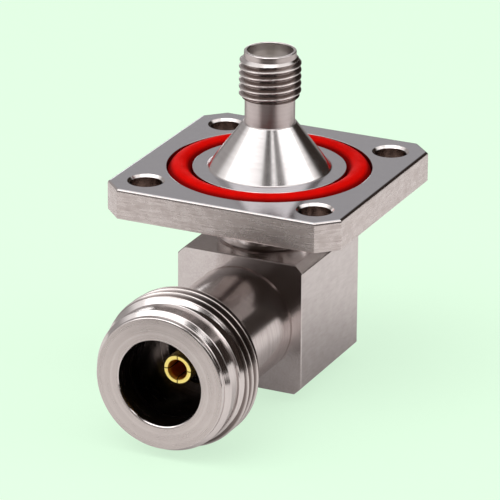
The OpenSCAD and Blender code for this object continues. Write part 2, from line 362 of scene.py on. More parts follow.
def useGroup(tree, group, inputs):
    node = tree.nodes.new("ShaderNodeGroup")
    node.node_tree = group
    for key, value in inputs.items():
        feed(tree, node.inputs[key], value)
    return node.outputs


def ramp(tree, factor, low, high):
    node = place(tree, "ShaderNodeMapRange", {"Value": factor, "From Min": 0.3, "From Max": 0.7,
                                             "To Min": low, "To Max": high})
    return node.outputs[0]


def mixColours(tree, factor, first, second):
    return place(tree, "ShaderNodeMix", {"Factor": factor, 6: first, 7: second}, data_type="RGBA").outputs[2]


def bump(tree, height, distance):
    return place(tree, "ShaderNodeBump", {"Height": height, "Distance": distance * mm}).outputs[0]


def dress(material, tree, shader, tone, height, look):
    clean = (*look["colour"], 1)
    dull = (*look["dull"], 1)
    feed(tree, shader.inputs["Base Color"], mixColours(tree, ramp(tree, tone, 0.0, 1.0), clean, dull))
    feed(tree, shader.inputs["Roughness"], ramp(tree, tone, *look["roughness"]))
    feed(tree, shader.inputs["Normal"], bump(tree, height, look["bump"]))
    shader.inputs["Metallic"].default_value = look["metallic"]
    return material


finishes = {
    "turned": {"colour": (0.76, 0.71, 0.695), "dull": (0.66, 0.61, 0.60), "roughness": (0.10, 0.16),
               "bump": 0.005, "metallic": 1.0, "lines": 13.0},
    "cone": {"colour": (0.78, 0.75, 0.745), "dull": (0.66, 0.62, 0.615), "roughness": (0.14, 0.21),
             "bump": 0.0015, "metallic": 1.0, "lines": 10.0},
    "neck": {"colour": (0.68, 0.62, 0.605), "dull": (0.54, 0.48, 0.47), "roughness": (0.30, 0.38),
             "bump": 0.003, "metallic": 1.0, "lines": 9.0},
    "nNeck": {"colour": (0.76, 0.70, 0.685), "dull": (0.54, 0.48, 0.47), "roughness": (0.15, 0.22),
              "bump": 0.003, "metallic": 1.0, "lines": 9.0},
    # crest is the thread's outer radius, and how far below it the groove is dark; groove is the colour of the
    # painted shade there
    "thread": {"colour": (0.76, 0.71, 0.69), "dull": (0.66, 0.60, 0.585), "roughness": (0.14, 0.22),
               "bump": 0.002, "metallic": 1.0, "lines": 9.0,
               "groove": (0.33, 0.28, 0.265), "crest": (3.11, 0.22)},
    "nThread": {"colour": (0.76, 0.71, 0.69), "dull": (0.66, 0.60, 0.585), "roughness": (0.14, 0.22),
                "bump": 0.002, "metallic": 1.0, "lines": 9.0,
                "groove": (0.20, 0.165, 0.155), "crest": (7.92, 0.26)},
    "face": {"colour": (0.66, 0.61, 0.59), "dull": (0.56, 0.51, 0.49), "roughness": (0.22, 0.30),
             "bump": 0.004, "metallic": 1.0, "lines": 8.0},
    # walls of the plate's holes: a darker colour, painted shade down in the holes
    "hole": {"colour": (0.42, 0.35, 0.32), "dull": (0.30, 0.24, 0.22), "roughness": (0.14, 0.24),
             "bump": 0.001, "metallic": 1.0, "across": 1.2, "along": 1.2},
    "plateTop": {"colour": (0.69, 0.685, 0.725), "dull": (0.63, 0.625, 0.66), "roughness": (0.10, 0.14),
                 "bump": 0.0015, "metallic": 1.0, "across": 10.0, "along": 0.5},
    # underside of the flange: a darker colour, painted shade under the flange
    "plateUnder": {"colour": (0.45, 0.42, 0.41), "dull": (0.32, 0.295, 0.285), "roughness": (0.24, 0.34),
                   "bump": 0.004, "metallic": 1.0, "across": 0.5, "along": 7.0},
    "plateSide": {"colour": (0.74, 0.69, 0.675), "dull": (0.54, 0.475, 0.455), "roughness": (0.22, 0.34),
                  "bump": 0.004, "metallic": 1.0, "across": 0.5, "along": 7.0},
    "blockFace": {"colour": (0.70, 0.66, 0.65), "dull": (0.58, 0.53, 0.52), "roughness": (0.10, 0.17),
                  "bump": 0.004, "metallic": 1.0, "across": 6.0, "along": 0.7},
    # inside of the N barrel: a near-black colour, painted shade down the bore
    "bore": {"colour": (0.14, 0.12, 0.11), "dull": (0.10, 0.08, 0.07), "roughness": (0.20, 0.32),
             "bump": 0.004, "metallic": 1.0, "lines": 4.0},
    # inside of the SMA mouth: a darker colour, painted shade in the mouth
    "mouth": {"colour": (0.50, 0.45, 0.44), "dull": (0.38, 0.34, 0.33), "roughness": (0.30, 0.38),
              "bump": 0.004, "metallic": 1.0, "lines": 9.0},
    "gold": {"colour": (1.0, 0.90, 0.33), "dull": (1.0, 0.78, 0.20), "roughness": (0.12, 0.20),
             "bump": 0.003, "metallic": 1.0, "lines": 7.0},
    # bore and entry of the N contact: a deeper orange gold, a painted reflection of the gold glowing back on
    # itself inside the socket
    "goldPaintedGlow": {"colour": (1.0, 0.52, 0.07), "dull": (0.90, 0.36, 0.04), "roughness": (0.42, 0.55),
                 "bump": 0.003, "metallic": 1.0, "lines": 7.0},
}


def turnedSteel(name, look, turn=(0, 0, 0), centre=(0, 0, 0)):
    material, tree, shader = newMaterial(name)
    where = objectPosition(tree)
    # the mapping puts the turning axis on Z
    moved = place(tree, "ShaderNodeMapping", {"Vector": where, "Location": centre, "Rotation": turn}).outputs[0]
    marks = useGroup(tree, turningGroup, {"Vector": moved, "Lines per mm": look["lines"]})
    dress(material, tree, shader, marks["Tone"], marks["Height"], look)
    # darkens the thread's groove towards the groove colour: painted shade
    if "crest" in look:
        radius, depth = look["crest"]
        paintedShade = useGroup(tree, grooveShadeGroup, {"Vector": moved, "Crest Radius": radius, "Depth": depth})["Painted Shade"]
        clean = shader.inputs["Base Color"].links[0].from_socket
        feed(tree, shader.inputs["Base Color"], mixColours(tree, paintedShade, clean, (*look["groove"], 1)))
    return material


def groundSteel(name, look, turn=(0, 0, 0)):
    material, tree, shader = newMaterial(name)
    where = objectPosition(tree)
    grain = useGroup(tree, grainGroup, {"Vector": where, "Across": look["across"], "Along": look["along"],
                                        "Turn": turn})
    return dress(material, tree, shader, grain["Tone"], grain["Height"], look)


ontoZ = {"turn": (-quarter, 0, 0), "centre": (0, -axisHeight * mm, 0)}  # puts the N axis on Z
smaSteel = turnedSteel("smaSteel", finishes["turned"])
coneSteel = turnedSteel("coneSteel", finishes["cone"])
smaNeckSteel = turnedSteel("smaNeckSteel", finishes["neck"])
smaThreadSteel = turnedSteel("smaThreadSteel", finishes["thread"])
mouthShadedSteel = turnedSteel("mouthShadedSteel", finishes["mouth"])
nSteel = turnedSteel("nSteel", finishes["turned"], **ontoZ)
nNeckSteel = turnedSteel("nNeckSteel", finishes["nNeck"], **ontoZ)
nThreadSteel = turnedSteel("nThreadSteel", finishes["nThread"], **ontoZ)
nFaceSteel = turnedSteel("nFaceSteel", finishes["face"], **ontoZ)
boreShadedSteel = turnedSteel("boreShadedSteel", finishes["bore"], **ontoZ)
holeShadedSteel = groundSteel("holeShadedSteel", finishes["hole"])
plateGrain = (0, 0, math.radians(20))
plateTopSteel = groundSteel("plateTopSteel", finishes["plateTop"], plateGrain)
plateSideSteel = groundSteel("plateSideSteel", finishes["plateSide"], (0, quarter, 0))
plateUnderShadedSteel = groundSteel("plateUnderShadedSteel", finishes["plateUnder"], plateGrain)
blockSteel = groundSteel("blockSteel", finishes["blockFace"], (0, 0, quarter))
smaGold = turnedSteel("smaGold", finishes["gold"])
nGold = turnedSteel("nGold", finishes["gold"], **ontoZ)
nGoldPaintedGlow = turnedSteel("nGoldPaintedGlow", finishes["goldPaintedGlow"], **ontoZ)

rubberLook = {"colour": (0.56, 0.0025, 0.0012), "dull": (0.46, 0.002, 0.001), "roughness": (0.42, 0.55),
              "bump": 0.006, "metallic": 0.0, "pores": 5.0, "specular": 0.01,
              "paintedCreviceShade": (0.16, 0.001, 0.0008), "paintedShadeHeights": (-0.02, 0.24)}
insulatorLook = {"colour": (0.83, 0.83, 0.80), "dull": (0.76, 0.76, 0.72), "roughness": (0.42, 0.55),
                 "bump": 0.003, "metallic": 0.0, "pores": 8.0}


def softMaterial(name, look):
    material, tree, shader = newMaterial(name)
    skin = useGroup(tree, skinGroup, {"Vector": objectPosition(tree), "Pores per mm": look["pores"]})
    return dress(material, tree, shader, skin["Tone"], skin["Height"], look)


# red rubber, with painted shade darkening it down beside the groove's lips
def makeRubber():
    material = softMaterial("sealRubber", rubberLook)
    tree = material.node_tree
    shader = tree.nodes["Principled BSDF"]
    shader.inputs["Specular IOR Level"].default_value = rubberLook["specular"]
    # painted shade: the rubber darkens towards the crevice colour below the given heights
    height = place(tree, "ShaderNodeSeparateXYZ", {0: objectPosition(tree)}).outputs[2]
    low, high = rubberLook["paintedShadeHeights"]
    share = place(tree, "ShaderNodeMapRange", {"Value": height, "From Min": low * mm, "From Max": high * mm})
    clean = shader.inputs["Base Color"].links[0].from_socket
    shaded = mixColours(tree, share.outputs[0], (*rubberLook["paintedCreviceShade"], 1), clean)
    feed(tree, shader.inputs["Base Color"], shaded)
    return material


sealRubber = makeRubber()
whiteInsulator = softMaterial("whiteInsulator", insulatorLook)
print("finishes ready")


# ---- thread cutter: pulls the outer skin in along a right-hand helix

def cutThread():
    inputs = [("Geometry", "NodeSocketGeometry", None)]
    inputs += [(name, "NodeSocketFloat", None) for name in
               ("Pitch", "Depth", "Major Radius", "Low", "High", "Start", "Crest Share", "Root Share")]
    inputs.append(("Material", "NodeSocketMaterial", None))
    tree, given, out = newTree("cutThread", "GeometryNodeTree", inputs, [("Geometry", "NodeSocketGeometry")])
    at = tree.nodes.new("GeometryNodeInputPosition").outputs[0]
    x, y, z = place(tree, "ShaderNodeSeparateXYZ", {0: at}).outputs
    radius = distanceFromAxis(tree, x, y)
    turnShare = calc(tree, "DIVIDE", calc(tree, "ARCTAN2", y, x), 2 * math.pi)
    turnsUp = calc(tree, "DIVIDE", calc(tree, "SUBTRACT", z, given["Start"]), given["Pitch"])
    phase = calc(tree, "FRACT", calc(tree, "SUBTRACT", turnsUp, turnShare))
    # 0 on the crest, 1 in the middle of the groove
    fromMiddle = calc(tree, "ABSOLUTE", calc(tree, "MULTIPLY_ADD", phase, 2.0, -1.0))
    fromCrest = calc(tree, "SUBTRACT", 1.0, fromMiddle)
    flank = place(tree, "ShaderNodeMapRange",
                  {"Value": fromCrest, "From Min": given["Crest Share"],
                   "From Max": calc(tree, "SUBTRACT", 1.0, given["Root Share"])}).outputs[0]
    target = calc(tree, "SUBTRACT", given["Major Radius"], calc(tree, "MULTIPLY", flank, given["Depth"]))
    shrink = calc(tree, "DIVIDE", calc(tree, "MINIMUM", radius, target), radius)
    cutAt = place(tree, "ShaderNodeCombineXYZ", {0: calc(tree, "MULTIPLY", x, shrink),
                                                 1: calc(tree, "MULTIPLY", y, shrink), 2: z}).outputs[0]
    inZone = calc(tree, "MULTIPLY", calc(tree, "GREATER_THAN", z, given["Low"]),
                  calc(tree, "LESS_THAN", z, given["High"]))
    outerSkin = calc(tree, "GREATER_THAN", radius, calc(tree, "MULTIPLY", given["Major Radius"], 0.8))
    moved = place(tree, "GeometryNodeSetPosition",
                  {"Geometry": given["Geometry"], "Selection": calc(tree, "MULTIPLY", inZone, outerSkin),
                   "Position": cutAt}).outputs[0]
    real = place(tree, "GeometryNodeRealizeInstances", {0: moved}).outputs[0]
    dressed = place(tree, "GeometryNodeSetMaterial",
                    {"Geometry": real, "Material": given["Material"]}).outputs[0]
    tree.links.new(dressed, out["Geometry"])
    return tree


threadCutter = cutThread()


def addThread(piece, thread, material):
    cutter = piece.modifiers.new("thread", "NODES")
    cutter.node_group = threadCutter
    lengths = {"Pitch": "pitch", "Depth": "depth", "Major Radius": "radius", "Low": "low", "High": "high",
               "Start": "start"}
    values = {name: thread[key] * mm for name, key in lengths.items()}
    values.update({"Crest Share": thread["crest"], "Root Share": thread["root"], "Material": material})
    setInputs(cutter, values)


hair, slack = 0.01, 0.1  # how far, in mm, a test below may miss the surface that it is meant for
upright, steep, level = 0.3, 0.5, 0.9  # how much a surface faces along the turning axis


# gives the faces that pass a test on their centre another material
def refinish(piece, material, test):
    piece.data.materials.append(material)
    index = len(piece.data.materials) - 1
    for face in piece.data.polygons:
        if test(face.center / mm, face.normal):
            face.material_index = index


# ---- flange, cone and SMA barrel

smaBody = {
    "thickness": 3.15, "corner": 2.0, "topRound": 0.28, "underRound": 0.16, "edgeSteps": 4,
    "holePitch": 18.4, "holeRadius": 1.625, "sinkRadius": 1.875, "holeBreak": 0.08,
    "grooveOuter": 10.305, "grooveInner": 7.725, "grooveDepth": 2.15, "grooveBreak": 0.06, "grooveRound": 0.1,
    "land": 0.3,  # flat ring between the plate's faces and the turned path
    "coneBase": 6.2, "coneTop": 2.66, "coneHeight": 4.75, "coneFootRound": 0.12, "coneTopRound": 0.05,
    "neck": 2.52, "neckRound": 0.04, "rim": 2.62, "rimLength": 0.66, "rimRound": 0.14,
    "leadBevel": 0.42, "tailBevel": 0.3, "threadLength": 4.18,
    "threadIntoLead": 0.5, "finishIntoLead": 0.8,  # shares of the lead bevel with thread and its finish
    "mouth": 2.3, "mouthDepth": 1.91, "mouthRound": 0.09, "lipDepth": 0.12,
    "bore": 2.09, "footBore": 2.53, "footSeat": 1.0, "spigot": 3.6, "spigotLength": 2.5, "spigotRound": 0.1,
    "lowerNeck": 5.25, "lowerNeckRound": 0.08, "footBevel": 0.22,
    "rounds": 256, "holeRounds": 72, "ringStep": 0.03,
}
smaThread = {"pitch": 0.7056, "depth": 0.43, "radius": 3.11, "start": 0.30, "crest": 0.12, "root": 0.12}


# octagon of the plate, drawn in by inset all round
def plateOutline(half, corner, inset, height):
    far = half - inset
    near = half - corner - (math.sqrt(2) - 1) * inset
    quarterTurns = [(far, -near), (far, near)]
    points = []
    for i in range(4):
        turn = Matrix.Rotation(i * quarter, 2)
        points += [turn @ Vector(point) for point in quarterTurns]
    return [(point.x, point.y, height) for point in points]


def makeFlangeBody():
    body = smaBody
    under = -body["thickness"]
    half = flangeHigh.x
    mouthTop = flangeHigh.z
    threadTop = mouthTop - body["rimLength"]
    threadEnd = threadTop - body["threadLength"]
    blockTop = blockHigh.z
    spigotEnd = blockTop - body["spigotLength"]
    mouthFloor = mouthTop - body["mouthDepth"]
    groove, major, land = -body["grooveDepth"], smaThread["radius"], body["land"]
    smaThread.update(low=threadEnd, high=threadTop - body["threadIntoLead"] * body["leadBevel"])
    corners = [
        (body["grooveOuter"] + land, 0, 0), (body["grooveOuter"], 0, body["grooveBreak"]),
        (body["grooveOuter"], groove, body["grooveRound"]), (body["grooveInner"], groove, body["grooveRound"]),
        (body["grooveInner"], 0, body["grooveBreak"]), (body["coneBase"], 0, body["coneFootRound"]),
        (body["coneTop"], body["coneHeight"], body["coneTopRound"]),
        (body["neck"], body["coneHeight"], body["neckRound"]),
        (body["neck"], threadEnd, 0), (major - body["tailBevel"], threadEnd, 0),
        (major, threadEnd + body["tailBevel"], 0), (major, threadTop - body["leadBevel"], 0),
        (body["rim"], threadTop, 0), (body["rim"], mouthTop, body["rimRound"]),
        (body["mouth"], mouthTop, body["mouthRound"]), (body["mouth"], mouthFloor, 0),
        (body["bore"], mouthFloor, 0), (body["bore"], -body["footSeat"], 0),
        (body["footBore"], -body["footSeat"], 0), (body["footBore"], spigotEnd, 0),
        (body["spigot"], spigotEnd, body["spigotRound"]),
        (body["spigot"], blockTop, 0), (body["lowerNeck"] - body["footBevel"], blockTop, 0),
        (body["lowerNeck"], blockTop + body["footBevel"], 0),
        (body["lowerNeck"], under, body["lowerNeckRound"]), (body["lowerNeck"] + land, under, 0),
    ]
    path = denser(softened(corners), threadEnd, threadTop, body["mouth"] + 0.3, body["ringStep"])
    bm = bmesh.new()
    rings = lathe(bm, path, body["rounds"])
    edges = []
    for inset, drop in roundedEdge(body["topRound"], body["edgeSteps"]):
        edges.append((inset, -drop))
    for inset, drop in reversed(roundedEdge(body["underRound"], body["edgeSteps"])):
        edges.append((inset, under + drop))
    sides = [addLoop(bm, plateOutline(half, body["corner"], inset, height)) for inset, height in edges]
    bridgeAll(bm, sides)
    topHoles, underHoles = [rings[0]], [rings[-1]]
    sink = body["sinkRadius"] - body["holeRadius"]
    for i in range(4):
        centre = Matrix.Rotation(i * quarter, 2) @ Vector((body["holePitch"] / 2, body["holePitch"] / 2))
        outlines = [(body["sinkRadius"], 0), (body["holeRadius"], -sink),
                    (body["holeRadius"], under + body["holeBreak"]),
                    (body["holeRadius"] + body["holeBreak"], under)]
        loops = [addLoop(bm, circle(radius, height, body["holeRounds"], centre)) for radius, height in outlines]
        bridgeAll(bm, loops)
        topHoles.append(loops[0])
        underHoles.append(loops[-1])
    fillFlat(bm, sides[0], topHoles)
    fillFlat(bm, sides[-1], underHoles)
    piece = finishMesh(bm, "flangeBody")
    addThread(piece, smaThread, smaSteel)
    applyModifiers(piece)

    neckTop = threadEnd - hair
    outside = body["mouth"] + slack
    threadFinishTop = threadTop - body["finishIntoLead"] * body["leadBevel"]
    farEdge, cutEdge = half - body["topRound"], 2 * half - body["corner"] - 2 * body["topRound"]
    refinish(piece, smaNeckSteel, lambda at, normal: at.z > body["coneHeight"] and abs(normal.z) < upright
             and (at.z < neckTop or at.z > threadTop) and at.xy.length > outside)
    refinish(piece, coneSteel, lambda at, normal: hair < at.z < body["coneHeight"] and at.xy.length > outside)
    refinish(piece, smaThreadSteel, lambda at, normal: neckTop < at.z < threadFinishTop
             and at.xy.length > outside)
    refinish(piece, mouthShadedSteel, lambda at, normal: threadEnd < at.z < mouthTop - body["lipDepth"]
             and at.xy.length < body["mouth"] + 2 * hair)
    refinish(piece, plateTopSteel, lambda at, normal: abs(at.z) < 5 * hair and normal.z > level)
    refinish(piece, holeShadedSteel, lambda at, normal: under - hair < at.z < -sink
             and at.xy.length > body["grooveOuter"] + 5 * slack and abs(normal.z) < steep)
    refinish(piece, plateUnderShadedSteel, lambda at, normal: abs(at.z - under) < 5 * hair and normal.z < -level)
    refinish(piece, plateSideSteel, lambda at, normal: under - hair < at.z < -hair and abs(normal.z) < upright
             and (max(abs(at.x), abs(at.y)) > farEdge or abs(at.x) + abs(at.y) > cutEdge))
    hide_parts("flange_body")
    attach(piece, "root")


makeFlangeBody()
print("flange body turned")


# ---- N barrel

nBarrel = {
    "seat": 3.93, "spigot": 4.8, "spigotLength": 2.5, "spigotRound": 0.1,
    "neck": 5.7, "footBevel": 0.22, "neckRound": 0.08,
    "threadBack": 18.1, "threadFront": 22.1, "tailBevel": 0.6, "tailRound": 0.05,
    "band": 7.25, "bandLength": 1.75, "bandRound": 0.04, "rim": 6.8, "faceRound": 0.17,
    "mouth": 4.4, "lipRound": 0.24, "refDepth": 9.1, "refRound": 0.05, "line": 3.5, "lineRound": 0.08,
    "finishFrom": 0.3, "finishIntoLead": 0.75,  # start of the thread's finish, its share of the lead bevel
    "beadFront": 9.9, "rounds": 256, "ringStep": 0.035,
}
nThread = {"pitch": 1.058, "depth": 0.66, "radius": 7.918, "start": 0.17, "crest": 0.1, "root": 0.12}


def makeShell():
    barrel = nBarrel
    face = -shellLow.y
    blockFront = blockHigh.y
    spigotEnd = blockFront - barrel["spigotLength"]
    back, front = barrel["threadBack"], barrel["threadFront"]
    bandFront = front + barrel["bandLength"]
    reference = face - barrel["refDepth"]
    major = nThread["radius"]
    lead = major - barrel["band"]
    step = barrel["band"] - barrel["rim"]
    nThread.update(low=back, high=front)
    corners = [
        (barrel["seat"], spigotEnd, 0), (barrel["spigot"], spigotEnd, barrel["spigotRound"]),
        (barrel["spigot"], blockFront, 0), (barrel["neck"] - barrel["footBevel"], blockFront, 0),
        (barrel["neck"], blockFront + barrel["footBevel"], 0), (barrel["neck"], back, barrel["neckRound"]),
        (major - barrel["tailBevel"], back, barrel["tailRound"]),
        (major, back + barrel["tailBevel"], barrel["tailRound"]), (major, front - lead, 0),
        (barrel["band"], front, 0), (barrel["band"], bandFront, barrel["bandRound"]),
        (barrel["rim"], bandFront + step, barrel["bandRound"]),
        (barrel["rim"], face, barrel["faceRound"]), (barrel["mouth"], face, barrel["lipRound"]),
        (barrel["mouth"], reference, barrel["refRound"]), (barrel["line"], reference, barrel["lineRound"]),
        (barrel["line"], barrel["beadFront"], 0), (barrel["seat"], barrel["beadFront"], 0),
    ]
    path = denser(softened(corners), back, front, barrel["neck"] + 0.5, barrel["ringStep"])
    bm = bmesh.new()
    lathe(bm, path, barrel["rounds"], closed=True)
    piece = finishMesh(bm, "nShell")
    addThread(piece, nThread, nSteel)
    applyModifiers(piece)
    lip = face - 2 * barrel["lipRound"]
    finishBack, finishFront = back + barrel["finishFrom"], front - barrel["finishIntoLead"] * lead
    refinish(piece, nNeckSteel, lambda at, normal: blockFront < at.z < back and abs(normal.z) < 0.8)
    refinish(piece, nThreadSteel, lambda at, normal: finishBack < at.z < finishFront
             and at.xy.length > barrel["neck"])
    refinish(piece, nFaceSteel, lambda at, normal: at.z > lip and normal.z > 0.98)
    refinish(piece, boreShadedSteel, lambda at, normal: spigotEnd < at.z < lip and abs(normal.z) < steep
             and at.xy.length < barrel["mouth"] + slack)
    piece.data.transform(Matrix.Scale(mm, 4) @ ontoN @ Matrix.Scale(1 / mm, 4))
    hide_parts("n_shell")
    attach(piece, "root")


makeShell()
print("N barrel turned")


# ---- N contact: gold socket with a rounded tip and crossed slots

nSocket = {"radius": 1.52, "bore": 0.85, "boreDepth": 6.0, "studBore": 0.98, "studDepth": 3.1,
           "backRound": 0.05, "tipRound": 0.13, "entry": 0.2, "entryDepth": 0.25, "entryRound": 0.06,
           "boreRound": 0.08, "slot": 0.1, "slotLength": 4.6, "rounds": 128, "roundSteps": 5}


def boxMesh(name, low, high, move=Matrix()):
    bm = bmesh.new()
    sides = ((low[0], low[1]), (high[0], low[1]), (high[0], high[1]), (low[0], high[1]))
    loops = [addLoop(bm, [(x, y, z) for x, y in sides]) for z in (low[2], high[2])]
    bridge(bm, *loops)
    bm.faces.new(loops[0])
    bm.faces.new(loops[1])
    return finishMesh(bm, name, move)


def makeContact():
    tip, back = -contactLow.y, -contactHigh.y
    socket = nSocket
    entry = socket["bore"] + socket["entry"]
    corners = [(0, back + socket["studDepth"], 0), (socket["studBore"], back + socket["studDepth"], 0),
               (socket["studBore"], back, 0), (socket["radius"], back, socket["backRound"]),
               (socket["radius"], tip, socket["tipRound"]), (entry, tip, socket["entryRound"]),
               (socket["bore"], tip - socket["entryDepth"], socket["boreRound"]),
               (socket["bore"], tip - socket["boreDepth"], 0), (0, tip - socket["boreDepth"], 0)]
    bm = bmesh.new()
    lathe(bm, softened(corners, socket["roundSteps"]), socket["rounds"])
    piece = finishMesh(bm, "contactSocket", ontoN)
    wide, thin = 2 * socket["radius"], socket["slot"] / 2
    slotBottom, slotTop = tip - socket["slotLength"], tip + 1
    cutAway(piece, [boxMesh("slotAcross", (-wide, -thin, slotBottom), (wide, thin, slotTop), ontoN),
                    boxMesh("slotUp", (-thin, -wide, slotBottom), (thin, wide, slotTop), ontoN)])
    piece.data.materials.append(nGold)
    refinish(piece, nGoldPaintedGlow, lambda at, normal: -at.y < tip - 2 * hair
             and math.hypot(at.x, at.z - axisHeight) < entry)
    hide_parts("n_contact")
    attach(piece, "root")


makeContact()
print("N contact slotted")


# ---- elbow block with turned corners

elbow = {"corner": 0.8, "edgeRound": 0.1, "edgeSteps": 3, "arcSteps": 10,
         "smaSeat": 3.63, "smaSeatDepth": 2.6, "linkBore": 1.46, "nSeat": 4.83, "nSeatDepth": 2.6, "line": 3.5,
         "capSeat": 4.53, "capDepth": 1.2, "capBevel": 0.12, "rounds": 128}


def blockOutline(halfWidth, halfHeight, corner, inset, y):
    radius = math.hypot(halfWidth, halfHeight - corner) - inset
    wide, tall = halfWidth - inset, halfHeight - inset
    first = math.acos(wide / radius)
    last = math.asin(tall / radius)
    points = []
    for mirrorX, mirrorZ in ((1, 1), (-1, 1), (-1, -1), (1, -1)):
        arc = []
        for k in range(elbow["arcSteps"] + 1):
            angle = first + (last - first) * k / elbow["arcSteps"]
            arc.append((mirrorX * radius * math.cos(angle), y, axisHeight + mirrorZ * radius * math.sin(angle)))
        points += arc if mirrorX * mirrorZ > 0 else arc[::-1]
    return points


def turnedCutter(name, path, move=Matrix()):
    bm = bmesh.new()
    lathe(bm, [Vector(point) for point in path], elbow["rounds"])
    return finishMesh(bm, name, move)


def makeBlock():
    half = blockHigh.x
    halfHeight = (blockHigh.z - blockLow.z) / 2
    edges = [(inset, -half + drop) for inset, drop in roundedEdge(elbow["edgeRound"], elbow["edgeSteps"])]
    edges += [(inset, -y) for inset, y in reversed(edges)]
    bm = bmesh.new()
    loops = [addLoop(bm, blockOutline(half, halfHeight, elbow["corner"], inset, y)) for inset, y in edges]
    bridgeAll(bm, loops)
    bm.faces.new(loops[0])
    bm.faces.new(loops[-1])
    piece = finishMesh(bm, "elbowBlock")
    over = 1  # how far the cutters reach past the block's faces
    seatFloor = blockHigh.z - elbow["smaSeatDepth"]
    smaPath = [(0, axisHeight), (elbow["linkBore"], axisHeight), (elbow["linkBore"], seatFloor),
               (elbow["smaSeat"], seatFloor), (elbow["smaSeat"], blockHigh.z + over), (0, blockHigh.z + over)]
    nSeatFloor = half - elbow["nSeatDepth"]
    capFloor = -half + elbow["capDepth"]
    bevelRadius = elbow["capSeat"] + elbow["capBevel"]
    nPath = [(0, -half - over), (bevelRadius, -half - over), (bevelRadius, -half),
             (elbow["capSeat"], -half + elbow["capBevel"]), (elbow["capSeat"], capFloor),
             (elbow["line"], capFloor), (elbow["line"], nSeatFloor), (elbow["nSeat"], nSeatFloor),
             (elbow["nSeat"], half + over), (0, half + over)]
    smaCutter = turnedCutter("smaCutter", smaPath)
    nCutter = turnedCutter("nCutter", nPath, ontoN)
    cutAway(piece, [smaCutter, nCutter])
    piece.data.materials.append(blockSteel)
    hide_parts("elbow_block")
    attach(piece, "root")


makeBlock()
print("elbow block bored")


# ---- O-ring with its mould line

sealRing = {"ring": 9.015, "section": 1.25, "lift": 0.03, "flash": 0.018, "flashSharpness": 40,
            "rounds": 192, "steps": 64}


def makeSeal():
    centreHeight = -smaBody["grooveDepth"] + sealRing["lift"] + sealRing["section"]
    sharp = sealRing["flashSharpness"]
    path = []
    for k in range(sealRing["steps"]):
        angle = 2 * math.pi * k / sealRing["steps"]
        # the mould leaves a thin raised line at mid height, inside and outside
        ridge = sealRing["flash"] * max(0, abs(math.cos(angle)) * sharp - (sharp - 1))
        radius = sealRing["section"] + ridge
        path.append(Vector((sealRing["ring"] + radius * math.cos(angle),
                            centreHeight + radius * math.sin(angle))))
    bm = bmesh.new()
    lathe(bm, path, sealRing["rounds"], closed=True)
    piece = finishMesh(bm, "sealRing")
    piece.data.materials.append(sealRubber)
    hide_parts("flange_seal")
    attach(piece, "root")


makeSeal()
print("O-ring moulded")


# ---- pieces that keep their solids

kept = {"n_inner_conductor": nGold, "n_bead": whiteInsulator, "n_bead_bush": nSteel, "sma_contact": smaGold,
        "sma_dielectric": whiteInsulator, "sma_dielectric_rear": whiteInsulator,
        "access_insulator": whiteInsulator, "access_cap": nSteel}
for name, material in kept.items():
    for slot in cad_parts[name].material_slots:
        slot.material = material
print("inner pieces dressed")


# ---- floor, light and camera

studio = {
    "backdrop": (0.745, 0.975, 0.757),  # pale green, as the camera sees the sheet and the room
    "floorSize": 3.0,  # metres
    "sheetGlow": 0.8, "sheetGlowInMetal": 0.35,
    # the sheet as metal mirrors it: far off, and darkened near the part by a painted shadow that fades out
    # between the two distances in mm at the end of the line
    "sheetInMetal": (0.74, 0.715, 0.70), "paintedShadowNear": (0.42, 0.40, 0.39), "paintedShadowEnds": (4, 28),
    # painted shade at the far ends of the sheet, in front and behind, as metal mirrors it: degrees round,
    # cosines where each starts and is full, distances in mm where it starts and is full, darkness
    "paintedShadeEnds": ((-9, 0.755, 0.839, 58, 64, 1.0), (180, 0.60, 0.85, 42, 54, 0.7)),
    # the room, and the glow overhead between two sines of the height
    "room": (0.40, 0.385, 0.38), "roomDark": (0.030, 0.022, 0.018), "highGlow": (1.10, 1.09, 1.08),
    "highGlowFrom": (0.70, 0.84),
    # dark and bright parts of the room: degrees round from the camera, degrees up,
    # cosines where each starts and is full
    "darkWays": ((0, 12, 0.46, 0.79), (132, 14, 0.74, 0.92)),
    "brightWays": ((-94, 38, 0.85, 0.985), (94, 40, 0.88, 0.98)),
}
# where the camera stands: degrees, and mm from the origin and across the picture
view = {"azimuth": 25.153, "elevation": 21.397, "roll": 0.36, "distance": 425.03, "right": -1.945, "up": -8.429,
        "lens": 305.9}


# unit vector from the part towards a place in the room, in degrees round from the camera and up
def towards(around, up):
    azimuth = math.radians(view["azimuth"] + around)
    rise = math.radians(up)
    return Vector((math.sin(azimuth) * math.cos(rise), -math.cos(azimuth) * math.cos(rise), math.sin(rise)))


def rayIsSeen(tree):
    path = tree.nodes.new("ShaderNodeLightPath").outputs
    mirrored = calc(tree, "MAXIMUM", path["Is Glossy Ray"], path["Is Transmission Ray"])
    return path["Is Camera Ray"], mirrored


def softStep(tree, value, start, full):
    step = place(tree, "ShaderNodeMapRange", {"Value": value, "From Min": start, "From Max": full},
                 interpolation_type="SMOOTHSTEP")
    return step.outputs[0]


# cosine of the angle between two unit vectors
def howAligned(tree, first, second):
    return place(tree, "ShaderNodeVectorMath", {0: first, 1: second}, operation="DOT_PRODUCT").outputs["Value"]


